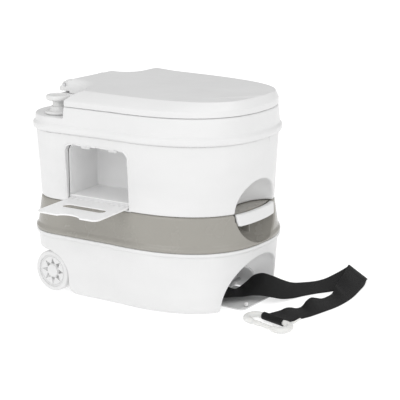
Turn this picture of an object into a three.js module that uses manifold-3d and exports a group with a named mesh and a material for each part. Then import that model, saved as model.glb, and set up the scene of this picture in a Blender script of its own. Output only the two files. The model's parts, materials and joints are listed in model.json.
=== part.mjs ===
// Portable camp toilet: a flush tank with seat and lid standing on a wheeled waste tank.
// Millimetres, +Z up, front towards -Y. The origin is on the ground, under the middle of the body.
import * as THREE from "three";
import { mergeVertices } from "three/addons/utils/BufferGeometryUtils.js";
import Module from "manifold-3d";

const wasm = await Module();
wasm.setup();

// ---------------------------------------------------------------- driving dimensions
const GAP = 0.3; // between pieces that touch
const WALL = 3; // moulded walls

// plan outline of the body at its widest, the rim bead
const SIDE_HALF = 170; // half-width where the sides meet the curved front
const REAR_HALF = 180.7; // half-width at the rear corners
const FRONT_Y = -216;
const REAR_Y = 216;
const SHOULDER_Y = 4; // where the sides meet the curved front
const REAR_CORNER = 74;
const FRONT_POWER = 2.4; // super-ellipse of the front

// heights of the stacked shells
const BASE_TOP = 121.3;
const WASTE_TOP = 186;
const FLUSH_BOTTOM = 186.4;
const FLUSH_TOP = 317.2;
const DECK_TOP = 367;
const LID_BOTTOM = 367.6;
const LID_TOP = 394;
const SHELF_Z = 345; // low corners of the deck, for the pump and the filler

// bowl, seat and slide valve share one vertical axis
const BOWL_Y = -20;
const OUTLET_R = 48;
const OPENING_A = 104; // half-width of the seat opening
const OPENING_B = 134; // half-length of the seat opening

// lid and seat hinge
const HINGE_Y = 202;
const HINGE_Z = 383;
const PIN_R = 3;

// pump and filler in the rear corners
const PUMP = [-140, 152];
const FILLER = [124, 184];

// paper compartment and its door, square to the slanting side wall
const PAPER_Y = 39;
const PAPER_HALF = 69; // half-length of the opening
const PAPER_TOP = 297;
const PAPER_BOTTOM = 189.4;
const PAPER_DEPTH = 96;
const DOOR_HINGE_Z = 192.2;
const DOOR_THICK = 2.6;
const DOOR_REACH = 104;

// slide valve
const CHANNEL_HALF = 64.5;
const CHANNEL_Z = 172;
const BLADE_HALF = 56;
const BLADE_Z = 176;

// wheels
const AXLE_Y = 156;
const WHEEL_R = 40;
const AXLE_R = 5;
const WHEEL_INNER = 142;
const WHEEL_OUTER = 168;

// webbing of the towing strap
const STRAP_THICK = 2;

// ---------------------------------------------------------------- materials
const look = (color, roughness, metalness = 0) => () =>
  new THREE.MeshStandardMaterial({ color, roughness, metalness });
const white = look(0xf1f1f0, 0.35);
const taupe = look(0xa9a69d, 0.4);
const natural = look(0xecebe6, 0.45);
const rubber = look(0x2b2b2b, 0.8);
const steel = look(0xb8babd, 0.3, 1);
const webbing = look(0x161616, 0.9);

const root = new THREE.Group();

function place(name, shape, material) {
  const geometry = shape.isBufferGeometry ? shape : toGeometry(shape);
  const mesh = new THREE.Mesh(geometry, material());
  mesh.name = name;
  root.add(mesh);
}

// ---------------------------------------------------------------- solids
function toSolid(geometry) {
  const bare = geometry.clone();
  bare.deleteAttribute("normal");
  bare.deleteAttribute("uv");
  const merged = mergeVertices(bare, 1e-4);
  const mesh = new wasm.Mesh({
    numProp: 3,
    vertProperties: new Float32Array(merged.attributes.position.array),
    triVerts: new Uint32Array(merged.index.array),
  });
  return new wasm.Manifold(mesh);
}

function toGeometry(solid) {
  const mesh = solid.getMesh();
  const geometry = new THREE.BufferGeometry();
  geometry.setAttribute("position", new THREE.BufferAttribute(mesh.vertProperties, 3));
  geometry.setIndex(new THREE.BufferAttribute(mesh.triVerts, 1));
  geometry.computeVertexNormals();
  return geometry;
}

// A closed body through rings of equally many [x, y, z] points, each ring anticlockwise seen from the last one.
function loftRings(rings) {
  const count = rings[0].length;
  const index = [];
  for (let k = 0; k + 1 < rings.length; k++) {
    for (let i = 0; i < count; i++) {
      const a = k * count + i;
      const b = k * count + ((i + 1) % count);
      index.push(a, b, b + count, a, b + count, a + count);
    }
  }
  const flat = rings[0].map(([x, y]) => new THREE.Vector2(x, y));
  const upright = Math.abs(THREE.ShapeUtils.area(flat)) < 1e-3;
  const caps = upright ? fanOf(count) : THREE.ShapeUtils.triangulateShape(flat, []);
  const last = (rings.length - 1) * count;
  for (const [a, b, c] of caps) {
    index.push(c, b, a, last + a, last + b, last + c);
  }
  const geometry = new THREE.BufferGeometry();
  geometry.setAttribute("position", new THREE.Float32BufferAttribute(rings.flat(2), 3));
  geometry.setIndex(index);
  return geometry;
}

function fanOf(count) {
  return Array.from({ length: count - 2 }, (_, i) => [0, i + 1, i + 2]);
}

const stack = (layers) => toSolid(loftRings(layers.map(([z, points]) => points.map(([x, y]) => [x, y, z]))));

const box = (x0, x1, y0, y1, z0, z1) =>
  toSolid(new THREE.BoxGeometry(x1 - x0, y1 - y0, z1 - z0).translate((x0 + x1) / 2, (y0 + y1) / 2, (z0 + z1) / 2));

// A round bar along "x", "y" or "z" from low to high; a and b are its other two coordinates in order.
function bar(axis, radius, low, high, a, b, sides = 24) {
  const geometry = new THREE.CylinderGeometry(radius, radius, high - low, sides);
  const middle = (low + high) / 2;
  if (axis === "x") geometry.rotateZ(-Math.PI / 2).translate(middle, a, b);
  if (axis === "y") geometry.translate(a, middle, b);
  if (axis === "z") geometry.rotateX(Math.PI / 2).translate(a, b, middle);
  return toSolid(geometry);
}

function ellipsoid(centre, semi, columns = 28, rows = 16) {
  const ball = new THREE.SphereGeometry(1, columns, rows).rotateX(Math.PI / 2);
  return toSolid(ball.scale(...semi).translate(...centre));
}

// A body of revolution about Z through [x, y]; the profile runs up from the axis and back to it.
function turned(profile, [x, y] = [0, 0], sides = 24) {
  const points = profile.map(([r, z]) => new THREE.Vector2(r, z));
  return toSolid(new THREE.LatheGeometry(points, sides).rotateX(Math.PI / 2).translate(x, y, 0));
}

const ring = (outer, inner, z0, z1, [x, y]) =>
  bar("z", outer, z0, z1, x, y, 32).subtract(bar("z", inner, z0 - 1, z1 + 1, x, y, 32));

function ellipse(x, y, a, b, steps = 32) {
  return Array.from({ length: steps }, (_, i) => {
    const t = (i / steps) * 2 * Math.PI;
    return [x + a * Math.cos(t), y + b * Math.sin(t)];
  });
}

function roundedRect(x0, x1, y0, y1, radius, steps = 4) {
  const corners = [
    [x1 - radius, y1 - radius, 0],
    [x0 + radius, y1 - radius, 1],
    [x0 + radius, y0 + radius, 2],
    [x1 - radius, y0 + radius, 3],
  ];
  return corners.flatMap(([x, y, quarter]) =>
    Array.from({ length: steps + 1 }, (_, i) => {
      const t = (quarter + i / steps) * (Math.PI / 2);
      return [x + radius * Math.cos(t), y + radius * Math.sin(t)];
    }),
  );
}

// ---------------------------------------------------------------- the body's plan outline
const RIM = {
  side: SIDE_HALF,
  rearHalf: REAR_HALF,
  front: FRONT_Y,
  rear: REAR_Y,
  shoulder: SHOULDER_Y,
  corner: REAR_CORNER,
  power: FRONT_POWER,
};
// flat middle of the lid, squarer than the rim
const LID_FLAT = { side: 140, rearHalf: 150, front: -205, rear: 191, shoulder: 87, corner: 50, power: 3.2 };

function outline(inset, shape = RIM) {
  const frontSteps = 9;
  const cornerSteps = 4;
  const half = [];
  for (let i = 0; i <= frontSteps; i++) {
    const t = (i / frontSteps) * (Math.PI / 2);
    const across = (shape.side - inset) * Math.sin(t) ** (2 / shape.power);
    const along = (shape.shoulder - shape.front - inset) * Math.cos(t) ** (2 / shape.power);
    half.push([across, shape.shoulder - along]);
  }
  for (let i = 0; i <= cornerSteps; i++) {
    const t = (i / cornerSteps) * (Math.PI / 2);
    const r = shape.corner - inset;
    half.push([
      shape.rearHalf - shape.corner + r * Math.cos(t),
      shape.rear - shape.corner + r * Math.sin(t),
    ]);
  }
  const mirrored = half.slice(1).reverse().map(([x, y]) => [-x, y]);
  return [...half, ...mirrored];
}

// A body whose wall follows the outline, from [height, inset] pairs.
const tower = (profile) => stack(profile.map(([z, inset]) => [z, outline(inset)]));
const thinned = (profile, by) => profile.map(([z, inset]) => [z, inset + by]);

// Presses a hollow into a shell, leaving a wall of its own round the hollow.
const pressIn = (shell, outside, hollow, grown) => shell.add(outside.intersect(grown)).subtract(hollow);

// ---------------------------------------------------------------- waste tank
const basePath = [
  [0, 26],
  [1.5, 17],
  [6, 11.5],
  [16, 8],
  [60, 4.5],
  [113.4, 1],
  [114.8, -2],
  [116.4, -3.2],
  [119.4, -3.2],
  [BASE_TOP, -1.6],
];

const ARCH = { centre: [0, -209, 0], semi: [98, 62, 97] };
const POCKET = { half: 62, top: 60, back: -118 };

function archHollow(by) {
  const [a, b, c] = ARCH.semi;
  const dome = ellipsoid(ARCH.centre, [a + by, b + by, c + by], 32, 18);
  const tunnel = new THREE.CylinderGeometry(1, 1, 100, 28)
    .scale(POCKET.half + by, 1, POCKET.top + by)
    .translate(0, POCKET.back + by - 50, 0);
  return dome.add(toSolid(tunnel));
}

function wheelHollow(by) {
  const r = WHEEL_R + 4.5 + by;
  return bar("x", r, -200, 200, AXLE_Y, WHEEL_R, 32)
    .add(box(-200, 200, AXLE_Y, REAR_Y + 20, -10, WHEEL_R + r))
    .add(box(-200, 200, AXLE_Y - r, REAR_Y + 20, -10, WHEEL_R));
}

function wasteBase() {
  const outside = tower(basePath);
  const inside = tower([[WALL, 29], [6, 15], [16, 11], [60, 7.5], [113, 4], [BASE_TOP + 1, 4]]);
  let shell = outside.subtract(inside);
  shell = pressIn(shell, outside, archHollow(0), archHollow(WALL));
  return pressIn(shell, outside, wheelHollow(0), wheelHollow(WALL));
}

const SCOOP_SEMI = [68, 49];
const scoop = (up, by) =>
  ellipsoid([0, -214, WASTE_TOP], [SCOOP_SEMI[0] + by, SCOOP_SEMI[1] + by, up + by]);

const SPOUT = { x: 104, y: 186, z: 157.5, r: 18 };
const spoutRecess = (by) => box(6 - by, 128 + by, 163 - by, REAR_Y + 20, 134 - by, 181.5 + by);
const LATCH = { low: -72, high: -14, y: 200, z: 149, pinY: 206.6 };
const latchRecess = (by, top) =>
  box(LATCH.low - by, LATCH.high + by, LATCH.y - by, REAR_Y + 20, 142 - by, top);
const VENT = { x: -96, z: 160 };

function wasteTop() {
  const profile = [
    [BASE_TOP + GAP, -1],
    [123, -3.2],
    [125, -3.8],
    [128.5, -3.4],
    [131.5, -1],
    [134, 0.8],
    [178, 7.2],
    [182.5, 8.6],
    [185, 10.8],
    [WASTE_TOP, 13.5],
  ];
  const outside = tower(profile);
  const inside = tower([[BASE_TOP, 4], [134, 4], [178, 10.2], [WASTE_TOP - WALL, 14]]);
  const channel = (by) =>
    box(-CHANNEL_HALF - by, CHANNEL_HALF + by, FRONT_Y - 20, 46 + by, CHANNEL_Z - by, WASTE_TOP + 10);
  let shell = outside.subtract(inside);
  const mouth = (by) => channel(by).add(scoop(62, by));
  shell = pressIn(shell, outside, mouth(0), mouth(WALL));
  shell = pressIn(shell, outside, spoutRecess(0), spoutRecess(WALL));
  shell = pressIn(shell, outside, latchRecess(0, WASTE_TOP + 1), latchRecess(WALL, WASTE_TOP + 1));
  return shell
    .add(outside.intersect(box(-18.3, -15.7, -198, -172, 143, 161)))
    .subtract(bar("z", OUTLET_R, CHANNEL_Z - 10, CHANNEL_Z + 1, 0, BOWL_Y, 32))
    .subtract(bar("z", 13, 120, 140, SPOUT.x, SPOUT.y))
    .subtract(bar("y", 9, 195, REAR_Y + 5, VENT.x, VENT.z, 24));
}

// ---------------------------------------------------------------- slide valve
function valveBlade() {
  const blade = stack([
    [BLADE_Z, roundedRect(-BLADE_HALF, BLADE_HALF, BOWL_Y - BLADE_HALF, BOWL_Y + BLADE_HALF, 14)],
    [BLADE_Z + WALL, roundedRect(-BLADE_HALF, BLADE_HALF, BOWL_Y - BLADE_HALF, BOWL_Y + BLADE_HALF, 14)],
  ]);
  return blade.add(box(-15, 15, -193.5, BOWL_Y - BLADE_HALF + 5, BLADE_Z, BLADE_Z + WALL));
}

function valveHousing() {
  const rear = 45.5;
  const front = BOWL_Y - BLADE_HALF - 2;
  const half = CHANNEL_HALF - 0.6;
  const block = box(-half, half, front, rear, CHANNEL_Z + GAP, 181.9);
  const room = box(-57, 57, front - 1, 38, CHANNEL_Z - 1, 179.5);
  return block.subtract(room).subtract(bar("z", OUTLET_R + 1, 170, 190, 0, BOWL_Y, 32));
}

function guideCover() {
  const half = CHANNEL_HALF - 1.2;
  const plate = stack([
    [182.2, outline(18.5)],
    [185.6, outline(18.5)],
  ]).intersect(box(-half, half, -230, -79, 180, 190));
  let cover = plate;
  for (const side of [-1, 1]) {
    const x = side * 60;
    cover = cover.add(box(x - 3, x + 3, -150, -79, CHANNEL_Z + GAP, 183));
  }
  for (const x of [-36, -11, 18]) {
    cover = cover.add(ellipsoid([x, -191 + Math.abs(x) / 16, 185.6], [4, 3, 1.8], 16, 10));
  }
  return cover;
}

function valveHandle() {
  const outer = stack([[163, outline(4)], [184, outline(6.5)], [185.2, outline(8)]]);
  const inner = stack([[160, outline(12.5)], [190, outline(16)]]);
  const grip = outer.subtract(inner).intersect(scoop(62, -1.2));
  return grip.add(box(-16, 16, -203, -193.8, 172, 182));
}

// ---------------------------------------------------------------- wheels
function wheel(side) {
  const hub = 13;
  const bore = AXLE_R + 0.35;
  const face = WHEEL_OUTER;
  const profile = [
    [bore, WHEEL_INNER],
    [WHEEL_R - 3, WHEEL_INNER],
    [WHEEL_R - 0.8, WHEEL_INNER + 1],
    [WHEEL_R, WHEEL_INNER + 3.5],
    [WHEEL_R, face - 4],
    [WHEEL_R - 1.2, face - 1.2],
    [WHEEL_R - 4, face],
    [31, face],
    [29.5, face - 2.5],
    [hub, face - 2.5],
    [hub - 1, face - 0.5],
    [bore, face - 0.5],
    [bore, WHEEL_INNER],
  ].map(([r, x]) => new THREE.Vector2(r, x));
  let body = toSolid(new THREE.LatheGeometry(profile, 28));
  for (let i = 0; i < 8; i++) {
    const pocket = new THREE.CylinderGeometry(5, 5, 8, 3)
      .scale(0.9, 1, 1.35)
      .translate(0, face - 4, 21.5)
      .rotateY((i * Math.PI) / 4);
    body = body.subtract(toSolid(pocket));
  }
  const geometry = toGeometry(body).rotateZ(-Math.PI / 2).translate(0, AXLE_Y, WHEEL_R);
  if (side < 0) geometry.rotateZ(Math.PI).translate(0, 2 * AXLE_Y, 0);
  return geometry;
}

function axleBracket(side) {
  const x = side * 122;
  return box(x - 5, x + 5, AXLE_Y - 11, AXLE_Y + 11, WHEEL_R, 2 * WHEEL_R + 10)
    .intersect(bar("x", WHEEL_R + 4.2, x - 5, x + 5, AXLE_Y, WHEEL_R, 32))
    .add(bar("x", 11, x - 5, x + 5, AXLE_Y, WHEEL_R, 28))
    .subtract(bar("x", AXLE_R + 0.35, x - 10, x + 10, AXLE_Y, WHEEL_R, 32));
}

// ---------------------------------------------------------------- pour-out spout, vent and latch
function pourSpout() {
  const { x, y, z, r } = SPOUT;
  return bar("z", 21, 135, 180.5, x, y)
    .add(bar("x", r, 24, x, y, z))
    .subtract(bar("z", 15, 130, 174, x, y))
    .subtract(bar("x", 14.5, 20, x, y, z));
}

function spoutCap() {
  const { y, z, r } = SPOUT;
  let cap = bar("x", 21, 13, 40, y, z, 24).subtract(bar("x", r + 0.6, 19, 41, y, z));
  for (let i = 0; i < 12; i++) {
    const t = (i * Math.PI) / 6;
    cap = cap.subtract(bar("x", 1.6, 10, 45, y + 21.6 * Math.cos(t), z + 21.6 * Math.sin(t), 8));
  }
  return cap;
}

function latchLever() {
  const { low, high, pinY, z } = LATCH;
  const plate = box(low + 3, high - 3, 204.6, 208.2, z, 204);
  const lip = box(low + 3, high - 3, 206, 211.5, 199, 204);
  return plate
    .add(lip)
    .add(bar("x", 4, low + 3, high - 3, pinY, z, 24))
    .subtract(bar("x", 2.1, low, high, pinY, z, 20));
}

// ---------------------------------------------------------------- flush tank
const flushPath = [
  [FLUSH_BOTTOM, 12],
  [187.3, 9.8],
  [189.4, 8.8],
  [FLUSH_TOP, 2],
];

// Puts a solid built at the origin against the side wall: +X inwards, +Y to the rear, Z unchanged.
const WALL_TURN = Math.atan2(REAR_HALF - SIDE_HALF, REAR_Y - REAR_CORNER - SHOULDER_Y);
const WALL_X = -(SIDE_HALF + (PAPER_Y - SHOULDER_Y) * Math.tan(WALL_TURN) - 8.7);
function againstWall(solid) {
  return solid.rotate([0, 0, (WALL_TURN * 180) / Math.PI]).translate([WALL_X, PAPER_Y, 0]);
}

// Upright panel with two rounded top corners, across the wall from x0 to x1.
function hatch(x0, x1, half, bottom, top, radius) {
  const shape = new THREE.Shape();
  shape.moveTo(-half, bottom);
  shape.lineTo(half, bottom);
  shape.lineTo(half, top - radius);
  shape.absarc(half - radius, top - radius, radius, 0, Math.PI / 2);
  shape.absarc(radius - half, top - radius, radius, Math.PI / 2, Math.PI);
  const panel = new THREE.ExtrudeGeometry(shape, { depth: x1 - x0, bevelEnabled: false, curveSegments: 6 });
  return toSolid(panel.rotateX(Math.PI / 2).rotateZ(Math.PI / 2).translate(x0, 0, 0));
}

function flushShell() {
  const outside = tower(flushPath);
  const inside = tower([[FLUSH_BOTTOM + WALL, 12], [FLUSH_TOP + 1, 5]]);
  let shell = outside.subtract(inside);
  shell = pressIn(shell, outside, scoop(55, 0), scoop(55, WALL));
  const recess = (by) => latchRecess(by, 206 + by);
  shell = pressIn(shell, outside, recess(0), recess(WALL));
  return shell
    .add(box(-60, -26, 196, 203.6, 196, 200))
    .subtract(againstWall(hatch(-20, 12, PAPER_HALF, PAPER_BOTTOM, PAPER_TOP, 14)))
    .subtract(bar("z", OUTLET_R + 3.5, 180, 195, 0, BOWL_Y, 32));
}

function paperBox() {
  const half = PAPER_HALF - 0.5;
  const mouth = 5; // set back from the wall, so that the door closes flush
  const outer = hatch(mouth, PAPER_DEPTH, half, 197, PAPER_TOP - 0.5, 13.5);
  const inner = hatch(mouth - 1, PAPER_DEPTH - 2, half - 2, 199, PAPER_TOP - 2.5, 12);
  let body = outer.subtract(inner).add(box(mouth, mouth + 2, -half, half, 190, 199));
  for (const y of [-34, 4, 38]) {
    body = body.add(box(mouth, mouth + 2, y - 6, y + 6, PAPER_TOP - 6, PAPER_TOP - 2));
  }
  return againstWall(body);
}

const DOOR_AXIS_X = 2.2;

function paperDoor() {
  const half = PAPER_HALF - 0.8;
  const notch = ellipse(-DOOR_REACH - 1, -6, 13, 24, 28);
  const slot = roundedRect(-50, -37, -45, 45, 6.4);
  const low = DOOR_HINGE_Z - DOOR_THICK / 2;
  const high = DOOR_HINGE_Z + DOOR_THICK / 2;
  const sheet = roundedRect(-DOOR_REACH, 20, -half, half, 13);
  let door = stack([[low, sheet], [high, sheet]])
    .intersect(box(-200, DOOR_AXIS_X, -100, 100, 0, 400))
    .subtract(stack([[low - 1, notch], [high + 1, notch]]))
    .subtract(stack([[low - 1, slot], [high + 1, slot]]))
    .add(bar("y", 2.4, -half, half, DOOR_AXIS_X, DOOR_HINGE_Z, 20))
    .subtract(bar("y", 1.5, -100, 100, DOOR_AXIS_X, DOOR_HINGE_Z, 16));
  for (const y of [-46, 46]) {
    door = door.add(ellipsoid([4 - DOOR_REACH, y, high], [2, 5, 1.4], 12, 8));
  }
  return againstWall(door);
}

const doorPin = () =>
  againstWall(bar("y", 1.2, -PAPER_HALF + GAP, PAPER_HALF - GAP, DOOR_AXIS_X, DOOR_HINGE_Z, 12));

function bowl() {
  const inner = [
    [186, 48, 48],
    [285, 51, 54],
    [305, 62, 78],
    [335, 91, 113],
    [364.5, 101, 131],
  ];
  const funnel = (by, from, to) =>
    stack(
      inner.map(([z, a, b], i) => {
        const height = i === 0 ? from : i === inner.length - 1 ? to : z;
        return [height, ellipse(0, BOWL_Y, a + by, b + by)];
      }),
    );
  const flange = stack([
    [361, ellipse(0, BOWL_Y, 112, 142)],
    [363.7, ellipse(0, BOWL_Y, 112, 142)],
  ]);
  return funnel(2.5, FLUSH_BOTTOM + GAP, 363.7).add(flange).subtract(funnel(0, 180, 370));
}

// ---------------------------------------------------------------- deck with its two low corners
const pumpCorner = (by) => ellipse(-150, 190, 84 + by, 84 + by, 36);
const fillerCorner = (by) => roundedRect(86 - by, 230, 160 - by, 260, 20 + by);

const corners = (by, z0, z1) =>
  stack([[z0, pumpCorner(by)], [z1, pumpCorner(by)]]).add(
    stack([[z0, fillerCorner(by)], [z1, fillerCorner(by)]]),
  );

function deck() {
  const profile = [
    [FLUSH_TOP + GAP, 0.4],
    [318.4, -2.2],
    [321, -3.6],
    [325.5, -4],
    [329.5, -3],
    [332.5, -0.8],
    [336, 0.7],
    [362, 3.2],
    [365.4, 4.2],
    [DECK_TOP, 6.4],
  ];
  const outside = tower(profile);
  const inside = tower([[FLUSH_TOP, 5], [DECK_TOP - WALL, 7.5]]);
  let shell = outside.subtract(inside);
  shell = pressIn(shell, outside, corners(0, SHELF_Z, 400), corners(WALL, SHELF_Z - WALL, 400));
  const opening = ellipse(0, BOWL_Y, OPENING_A, OPENING_B);
  shell = shell.subtract(stack([[350, opening], [400, opening]]));
  for (const side of [-1, 1]) {
    const x = side * 48;
    shell = shell
      .add(box(x - 6, x + 6, HINGE_Y - 7, HINGE_Y + 6, DECK_TOP - 2, HINGE_Z))
      .add(bar("x", 8.5, x - 6, x + 6, HINGE_Y, HINGE_Z, 28))
      .subtract(bar("x", PIN_R + GAP, x - 7, x + 7, HINGE_Y, HINGE_Z, 24));
  }
  return shell
    .subtract(bar("z", 13.2, SHELF_Z - 10, SHELF_Z + 1, ...PUMP))
    .subtract(bar("z", 15.2, SHELF_Z - 10, SHELF_Z + 1, ...FILLER));
}

// ---------------------------------------------------------------- pump and filler
function pumpCollar() {
  const z = SHELF_Z + GAP;
  const profile = [
    [10.8, z],
    [25, z],
    [25, z + 3.6],
    [24, z + 5],
    [17.5, z + 6.4],
    [14.4, z + 9.5],
    [13, z + 14],
    [10.8, z + 14],
    [10.8, z],
  ];
  return turned(profile, PUMP);
}

function pumpBarrel() {
  const top = SHELF_Z - GAP;
  return turned([[11, 196], [12.8, 196], [12.8, top], [11, top], [11, 196]], PUMP, 28);
}

function pumpPlunger() {
  const profile = [
    [0, 210],
    [10.4, 210],
    [10.4, 218],
    [4, 220],
    [4, 338],
    [10.3, 342],
    [10.3, 368],
    [12, 370],
    [20.5, 371.4],
    [22.6, 374.5],
    [22, 377.6],
    [18, 379.6],
    [0, 380.6],
  ];
  return turned(profile, PUMP);
}

function fillerNeck() {
  const top = SHELF_Z + 8;
  return turned([[13, 334], [15, 334], [15, SHELF_Z - 5], [15, top], [13, top], [13, 334]], FILLER, 28);
}

function fillerCap() {
  const top = SHELF_Z + 13;
  const profile = [
    [15.8, SHELF_Z + 1],
    [21, SHELF_Z + 1],
    [21, top - 2],
    [19, top],
    [0, top],
    [0, top - 3],
    [15.8, top - 3],
    [15.8, SHELF_Z + 1],
  ];
  const grip = box(-15, 15, -2.5, 2.5, top - 1, top + 3).translate([...FILLER, 0]);
  return turned(profile, FILLER, 28).add(grip);
}

// ---------------------------------------------------------------- seat and lid
function seat() {
  const outside = stack([
    [370, outline(13)],
    [371.5, outline(11)],
    [376, outline(11)],
    [380.5, outline(13.5)],
    [383.8, outline(19)],
    [385.6, outline(27)],
  ]);
  const hollow = stack([[369, outline(14)], [378, outline(14)], [382.4, outline(24)]]);
  const opening = (by) =>
    stack([
      [368, ellipse(0, BOWL_Y, 98 + by, 128 + by)],
      [380, ellipse(0, BOWL_Y, 101 + by, 131 + by)],
      [388, ellipse(0, BOWL_Y, 112 + by, 142 + by)],
    ]);
  const rearEdge = HINGE_Y - 18;
  const cut = corners(12, 360, 400).add(box(-200, 200, rearEdge, 260, 360, 400));
  const cutGrown = corners(15, 360, 400).add(box(-200, 200, rearEdge - WALL, 260, 360, 400));
  let body = outside
    .subtract(hollow)
    .add(outside.intersect(opening(WALL)))
    .add(outside.intersect(cutGrown))
    .subtract(opening(0))
    .subtract(cut);
  for (const side of [-1, 1]) {
    const x = side * 35.6;
    body = body
      .add(box(x - 5.6, x + 5.6, rearEdge - 4, HINGE_Y, 378.6, 385))
      .add(bar("x", 6, x - 5.6, x + 5.6, HINGE_Y, HINGE_Z, 24))
      .subtract(bar("x", PIN_R + GAP, x - 7, x + 7, HINGE_Y, HINGE_Z, 24));
  }
  return body;
}

function blend(a, b, share) {
  return a.map(([x, y], i) => [x + (b[i][0] - x) * share, y + (b[i][1] - y) * share]);
}

function lidForm(by, bottom) {
  const skirt = outline(3.4 + by);
  const flat = outline(by, LID_FLAT);
  const shoulder = 378 - by * 0.5;
  const top = LID_TOP - by;
  const layers = [[bottom, skirt], [shoulder, skirt]];
  for (const outward of [0.97, 0.85, 0.65, 0.35, 0]) {
    const rise = (1 - ((outward + 1) / 2) ** 1.5) ** (2 / 3) / 0.7476;
    layers.push([shoulder + (top - shoulder) * rise, blend(skirt, flat, 1 - outward)]);
  }
  return stack(layers);
}

// The corner hollows as the lid has them, opening out towards its top.
const LID_FLARE = [[360, 0], [379, 0], [385, 2.2], [389.4, 6], [392.4, 11.5], [394.2, 19]];
const lidCorners = (by) => {
  const layers = (corner) => stack(LID_FLARE.map(([z, out]) => [z - by, corner(out + by)]));
  const above = (corner) => stack([[394.1 - by, corner(19 + by)], [400, corner(19 + by)]]);
  return layers(pumpCorner).add(layers(fillerCorner)).add(above(pumpCorner)).add(above(fillerCorner));
};

function lid() {
  const outside = lidForm(0, LID_BOTTOM);
  let shell = outside.subtract(lidForm(WALL, 360));
  shell = pressIn(shell, outside, lidCorners(0), lidCorners(WALL));
  shell = shell.subtract(box(-100, 100, HINGE_Y - 12, 230, 360, 371.2));
  for (const side of [-1, 1]) {
    const x = side * 48;
    const ear = side * 59.6;
    shell = shell
      .subtract(box(x - 12.6, x + 12.6, HINGE_Y - 9.2, 230, 360, 400).translate([-side * 6, 0, 0]))
      .add(outside.intersect(box(ear - 4.9, ear + 4.9, HINGE_Y - 5, HINGE_Y + 5, HINGE_Z, 390)))
      .add(bar("x", 6.6, ear - 4.9, ear + 4.9, HINGE_Y, HINGE_Z, 24))
      .subtract(bar("x", PIN_R + GAP, ear - 5.5, ear + 5.5, HINGE_Y, HINGE_Z, 24));
  }
  return shell;
}

const bumper = (x, y, z0, z1) => bar("z", 5, z0, z1, x, y, 16);

// ---------------------------------------------------------------- towing strap and its hook
// Cross-sections of the webbing along its route: near edge, then far edge. It leaves the
// anchor bar flat, rises on its near edge, lies along the ground, folds back over itself
// and runs in two low waves to the hook.
const STRAP_ROUTE = [
  [[-46, -132, 17], [4, -132, 17]],
  [[-47, -146, 15.5], [2, -137, 18]],
  [[-44, -161, 14.5], [2, -142, 19]],
  [[-31, -172, 14.5], [12, -149, 13.5]],
  [[-16, -184, 13], [25, -162, 25]],
  [[-4, -199, 15], [32, -178, 42]],
  [[5, -216, 15], [36, -195, 48]],
  [[13, -231, 12.5], [46, -209, 43]],
  [[31, -242, 6.5], [69, -219, 30]],
  [[57, -250, 2.2], [97, -224, 17.5]],
  [[83, -259, 1.4], [124, -233, 12]],
  [[109, -272, 1.3], [150, -246, 10]],
  [[132, -287, 1.3], [168, -256, 12]],
  [[158, -300, 1.3], [188, -263, 16]],
  [[192, -309, 1.3], [211, -267, 19]],
  [[224, -313, 1.3], [231, -268, 20.5]],
  [[233.5, -315, 3.4], [238.5, -270, 23]],
  [[224, -318, 5.4], [229, -273.5, 27]],
  [[200, -326, 3], [206, -281.5, 25.5]],
  [[169, -332, 1.6], [180, -289, 22]],
  [[134, -338.5, 1.3], [148, -292.5, 13]],
  [[107.4, -341, 1.3], [131.5, -299, 14.2]],
  [[86, -341, 1.3], [115.8, -301, 5.6]],
  [[68, -340, 1.3], [98.3, -300, 3.8]],
  [[51, -337.5, 1.3], [81.2, -297.6, 4.6]],
  [[35, -334.5, 1.3], [64, -294.7, 10.4]],
  [[20, -331.5, 1.3], [48.7, -292.7, 14.8]],
  [[7, -328.5, 1.3], [37.9, -290.5, 11.9]],
  [[-6, -325, 1.3], [26.8, -287, 2.8]],
  [[-19, -320.5, 1.3], [14, -283.3, 2.2]],
  [[-32, -315.5, 1.3], [1.5, -278.7, 6.5]],
  [[-46, -312.5, 1.7], [-12, -276, 9.3]],
  [[-58, -312, 4], [-27, -272.5, 8]],
  [[-70.2, -313.5, 9.5], [-60.4, -264.5, 9.5]],
];
const HOOK_MIDDLE = [-87.5, -285];
const HOOK_TURN = -0.2; // of its long side from the Y axis
const HOOK_TUBE = 5;
const HOOK_HALF = 14.5; // from the middle to each long side
const HOOK_STRAIGHT = 33; // half-length of the straight sides
const HOOK_BAR_Z = 9; // height of the long side that carries the webbing

function strap() {
  const sections = STRAP_ROUTE.map(([near, far]) => [new THREE.Vector3(...near), new THREE.Vector3(...far)]);
  const edges = [0, 1].map((k) => new THREE.CatmullRomCurve3(sections.map((s) => s[k]), false, "centripetal"));
  const steps = 70;
  const rings = [];
  for (let i = 0; i <= steps; i++) {
    const at = ((sections.length - 1) * i) / steps;
    const [near, far] = edges.map((edge) => edge.getPoint(at / (sections.length - 1)));
    const ahead = edges.map((edge) => edge.getTangent(at / (sections.length - 1)));
    const along = ahead[0].add(ahead[1]).normalize();
    const across = far.clone().sub(near).normalize();
    const up = across.clone().cross(along).normalize().multiplyScalar(-STRAP_THICK / 2);
    rings.push([
      near.clone().sub(up).toArray(),
      far.clone().sub(up).toArray(),
      far.clone().add(up).toArray(),
      near.clone().add(up).toArray(),
    ]);
  }
  return loftRings(rings);
}

// The webbing sewn round the hook's long side.
function strapLoop() {
  const inner = HOOK_TUBE + 0.3;
  const roll = bar("y", inner + STRAP_THICK, -25, 25, HOOK_HALF, HOOK_BAR_Z, 28);
  return onHook(roll.subtract(bar("y", inner, -30, 30, HOOK_HALF, HOOK_BAR_Z, 28)));
}

const onHook = (solid) => solid.rotate([0, 0, (HOOK_TURN * 180) / Math.PI]).translate([...HOOK_MIDDLE, 0]);

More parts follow.
